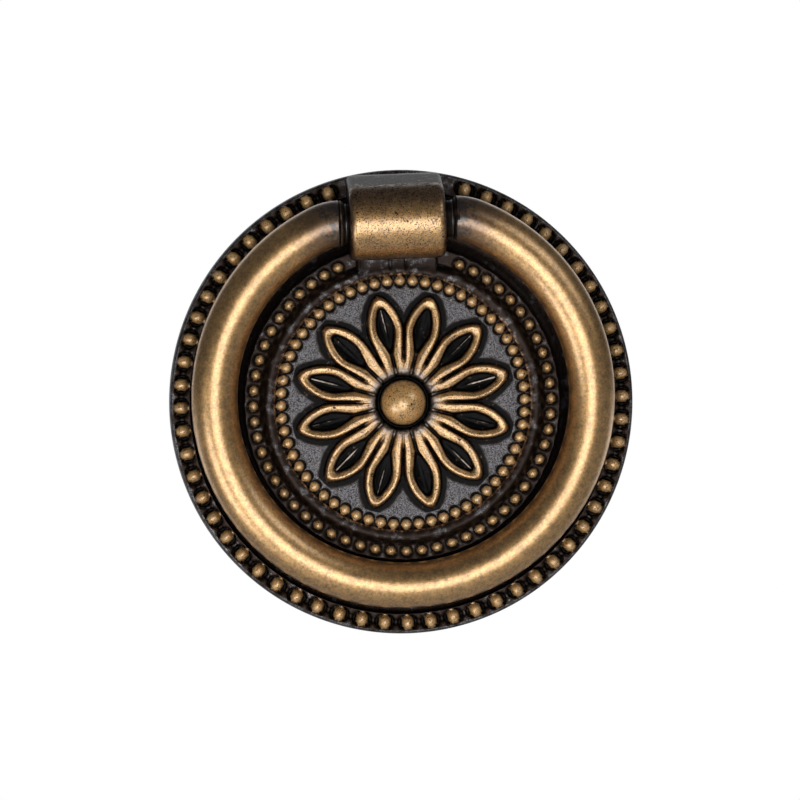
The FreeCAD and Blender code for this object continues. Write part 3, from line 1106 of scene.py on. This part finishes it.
@dataclass(frozen=True)
class AntiqueBrass:
    """Antique brass: plating under a dark patina that is rubbed back on what stands proud."""

    name: str
    bright: Colour = (0.95, 0.555, 0.19)
    dull: Colour = (0.28, 0.145, 0.05)
    patina: Colour = (0.042, 0.029, 0.024)
    black: Colour = (0.0035, 0.003, 0.003)
    ground: Colour = (0.36, 0.36, 0.385)
    worn: Colour = (0.60, 0.50, 0.42)
    speckle: float = 0.8
    dark_lacquer: float = 0.03  # share of the lacquer that is left on the patina
    lacquer_roughness: float = 0.28
    lacquer_ior: float = 1.9
    bump: float = 0.35
    bump_depth: float = 0.00006  # in metres

    def material(self, surface: bpy.types.NodeTree,
                 finish: bpy.types.NodeTree) -> bpy.types.Material:
        """Lay out the material.

        Args:
            surface: The cast surface's group.
            finish: The relieved finish's group.

        Returns:
            The material.
        """
        made = bpy.data.materials.new(self.name)
        made.use_nodes = True
        graph = Graph(made.node_tree)
        shader = made.node_tree.nodes["Principled BSDF"]
        cast = graph.node("ShaderNodeGroup", node_tree=surface)
        worn = graph.node("ShaderNodeGroup", node_tree=finish)
        for trait in Trait:
            kept = graph.node("ShaderNodeAttribute", attribute_name=trait.value)
            graph.feed(worn.inputs[trait.value.capitalize()], kept.outputs["Fac"])
        for label in ("Grain", "Pits", "Mottle", "Stipple"):
            graph.feed(worn.inputs[label], cast.outputs[label])
        for label, value in (("Speckle", self.speckle), ("Dark Lacquer", self.dark_lacquer),
                             ("Bright", self.bright), ("Dull", self.dull),
                             ("Patina", self.patina), ("Black", self.black),
                             ("Ground Colour", self.ground), ("Worn Colour", self.worn)):
            graph.feed(worn.inputs[label], value)
        bump = graph.node("ShaderNodeBump")
        graph.feed(bump.inputs["Strength"], self.bump)
        graph.feed(bump.inputs["Distance"], self.bump_depth)
        graph.feed(bump.inputs["Height"], worn.outputs["Height"])
        for label, value in (("Base Color", worn.outputs["Colour"]),
                             ("Roughness", worn.outputs["Roughness"]),
                             ("Metallic", worn.outputs["Metallic"]),
                             ("Normal", bump.outputs["Normal"]),
                             ("Coat Weight", worn.outputs["Lacquer"]),
                             ("Coat Roughness", self.lacquer_roughness),
                             ("Coat IOR", self.lacquer_ior)):
            graph.feed(shader.inputs[label], value)
        return made


@dataclass
class Studio:
    """White studio: pale floor, soft lamps and the camera."""

    floor_z: float = -0.45
    floor_r: float = 4.0
    floor_grey: float = 0.6
    sky_level: float = 0.32
    mirrored_level: float = 0.08  # what metal mirrors of the studio in front
    azimuth: float = math.radians(-3.0)
    elevation: float = math.radians(1.2)
    roll: float = math.radians(-2.4)
    distance: float = 0.6
    frame_width: float = 0.10359
    target: tuple[float, float, float] = (-0.000124, 0.0, 0.000228)

    def seen(self, graph: Graph, behind: bpy.types.NodeSocket) -> bpy.types.NodeSocket:
        """Share that is 1 for rays that show the white background.

        Args:
            graph: Tree of the floor or the world.
            behind: Share of the background that lies behind the part, which the metal mirrors.

        Returns:
            The share.
        """
        path = graph.node("ShaderNodeLightPath")
        clear = graph.math("MAXIMUM", path.outputs["Is Camera Ray"],
                           path.outputs["Is Transmission Ray"])
        mirrored = graph.math("MULTIPLY", path.outputs["Is Glossy Ray"], behind)
        return graph.math("MAXIMUM", clear, mirrored)

    def world(self) -> None:
        """Set the soft light all round, white where it is seen."""
        world = bpy.data.worlds.new("studio")
        world.use_nodes = True
        bpy.context.scene.world = world
        graph = Graph(world.node_tree)
        sky = world.node_tree.nodes["Background"]
        glossy = graph.node("ShaderNodeLightPath").outputs["Is Glossy Ray"]
        way = graph.node("ShaderNodeSeparateXYZ")
        graph.feed(way.inputs[0], graph.node("ShaderNodeTexCoord").outputs["Generated"])
        behind = graph.step(way.outputs["Y"], 0.6, 0.98)
        level = graph.blend(glossy, self.sky_level, self.mirrored_level)
        graph.feed(sky.inputs["Strength"], graph.blend(self.seen(graph, behind), level, 1.0))
        graph.feed(sky.inputs["Color"], (1.0, 1.0, 1.0))

    def floor(self) -> None:
        """Lay the pale floor under the part."""
        bm = bmesh.new()
        bmesh.ops.create_circle(bm, cap_ends=True, segments=64, radius=self.floor_r,
                                matrix=Matrix.Translation((0, 0, self.floor_z)))
        mesh = bpy.data.meshes.new("studio_floor")
        bm.to_mesh(mesh)
        bm.free()
        floor = bpy.data.objects.new("studio_floor", mesh)
        bpy.context.scene.collection.objects.link(floor)
        paper = bpy.data.materials.new("pale_floor")
        paper.use_nodes = True
        graph = Graph(paper.node_tree)
        matte = paper.node_tree.nodes["Principled BSDF"]
        graph.feed(matte.inputs["Base Color"], (self.floor_grey,) * 3)
        graph.feed(matte.inputs["Roughness"], 0.9)
        glow = graph.node("ShaderNodeEmission")
        clear = graph.node("ShaderNodeBsdfTransparent")
        lit = graph.node("ShaderNodeMixShader")
        surface = graph.node("ShaderNodeNewGeometry")
        spot = graph.node("ShaderNodeSeparateXYZ")
        graph.feed(spot.inputs[0], surface.outputs["Position"])
        behind = graph.step(spot.outputs["Y"], 0.2, 1.6)
        graph.feed(lit.inputs[0], self.seen(graph, behind))
        graph.feed(lit.inputs[1], matte.outputs[0])
        graph.feed(lit.inputs[2], glow.outputs[0])
        one_way = graph.node("ShaderNodeMixShader")
        graph.feed(one_way.inputs[0], surface.outputs["Backfacing"])
        graph.feed(one_way.inputs[1], lit.outputs[0])
        graph.feed(one_way.inputs[2], clear.outputs[0])
        graph.feed(paper.node_tree.nodes["Material Output"].inputs["Surface"], one_way.outputs[0])
        mesh.materials.append(paper)

    def lamp(self, name: str, place: tuple[float, float, float], size: float, watts: float) -> None:
        """Hang a square soft lamp that points at the part.

        Args:
            name: Name of the lamp.
            place: Where it hangs, in metres.
            size: Side of its square.
            watts: Its power.
        """
        light = bpy.data.lights.new(name, "AREA")
        light.shape = "SQUARE"
        light.size = size
        light.energy = watts
        lamp = bpy.data.objects.new(name, light)
        lamp.location = place
        lamp.rotation_mode = "QUATERNION"
        lamp.rotation_quaternion = (-Vector(place)).to_track_quat("-Z", "Y")
        bpy.context.scene.collection.objects.link(lamp)

    def camera(self) -> None:
        """Set the camera at the photograph's viewing angle."""
        data = bpy.data.cameras.new("camera")
        data.sensor_width = 36.0
        data.lens = data.sensor_width * self.distance / self.frame_width
        data.clip_start, data.clip_end = 0.01, 20.0
        camera = bpy.data.objects.new("camera", data)
        flat = math.cos(self.elevation)
        away = Vector((math.sin(self.azimuth) * flat, -math.cos(self.azimuth) * flat,
                       math.sin(self.elevation)))
        camera.location = Vector(self.target) + away * self.distance
        look = (-away).to_track_quat("-Z", "Y").to_matrix()
        camera.rotation_euler = (look @ Matrix.Rotation(self.roll, 3, "Z")).to_euler()
        bpy.context.scene.collection.objects.link(camera)
        bpy.context.scene.camera = camera

    def build(self) -> None:
        """Set up the whole studio."""
        self.world()
        self.floor()
        self.lamp("front_softbox", (-0.036, -0.68, -0.155), size=0.42, watts=1.6)
        self.lamp("left_softbox", (-0.50, -0.42, -0.31), size=0.32, watts=0.95)
        self.lamp("right_softbox", (0.46, -0.40, 0.32), size=0.32, watts=0.42)
        self.camera()
        bpy.context.scene.view_settings.view_transform = "Standard"


def main() -> None:
    """Build the studio and both castings, and report each piece."""
    logging.basicConfig(level=logging.INFO, format="%(message)s")
    surface, finish = cast_surface_group(), relieved_finish_group()
    Studio().build()
    plate, ring = Backplate(), Ring()
    plate_piece, ring_piece = plate.build(), ring.build()
    plate.dress(plate_piece, AntiqueBrass("antique_brass_plate").material(surface, finish))
    ring_brass = AntiqueBrass("antique_brass_ring", speckle=0.2, dark_lacquer=0.95)
    ring.dress(ring_piece, ring_brass.material(surface, finish))
    for piece in (plate_piece, ring_piece):
        piece.data.calc_loop_triangles()
        log.info("%s: %d triangles", piece.name, len(piece.data.loop_triangles))


if __name__ == "__main__":
    main()
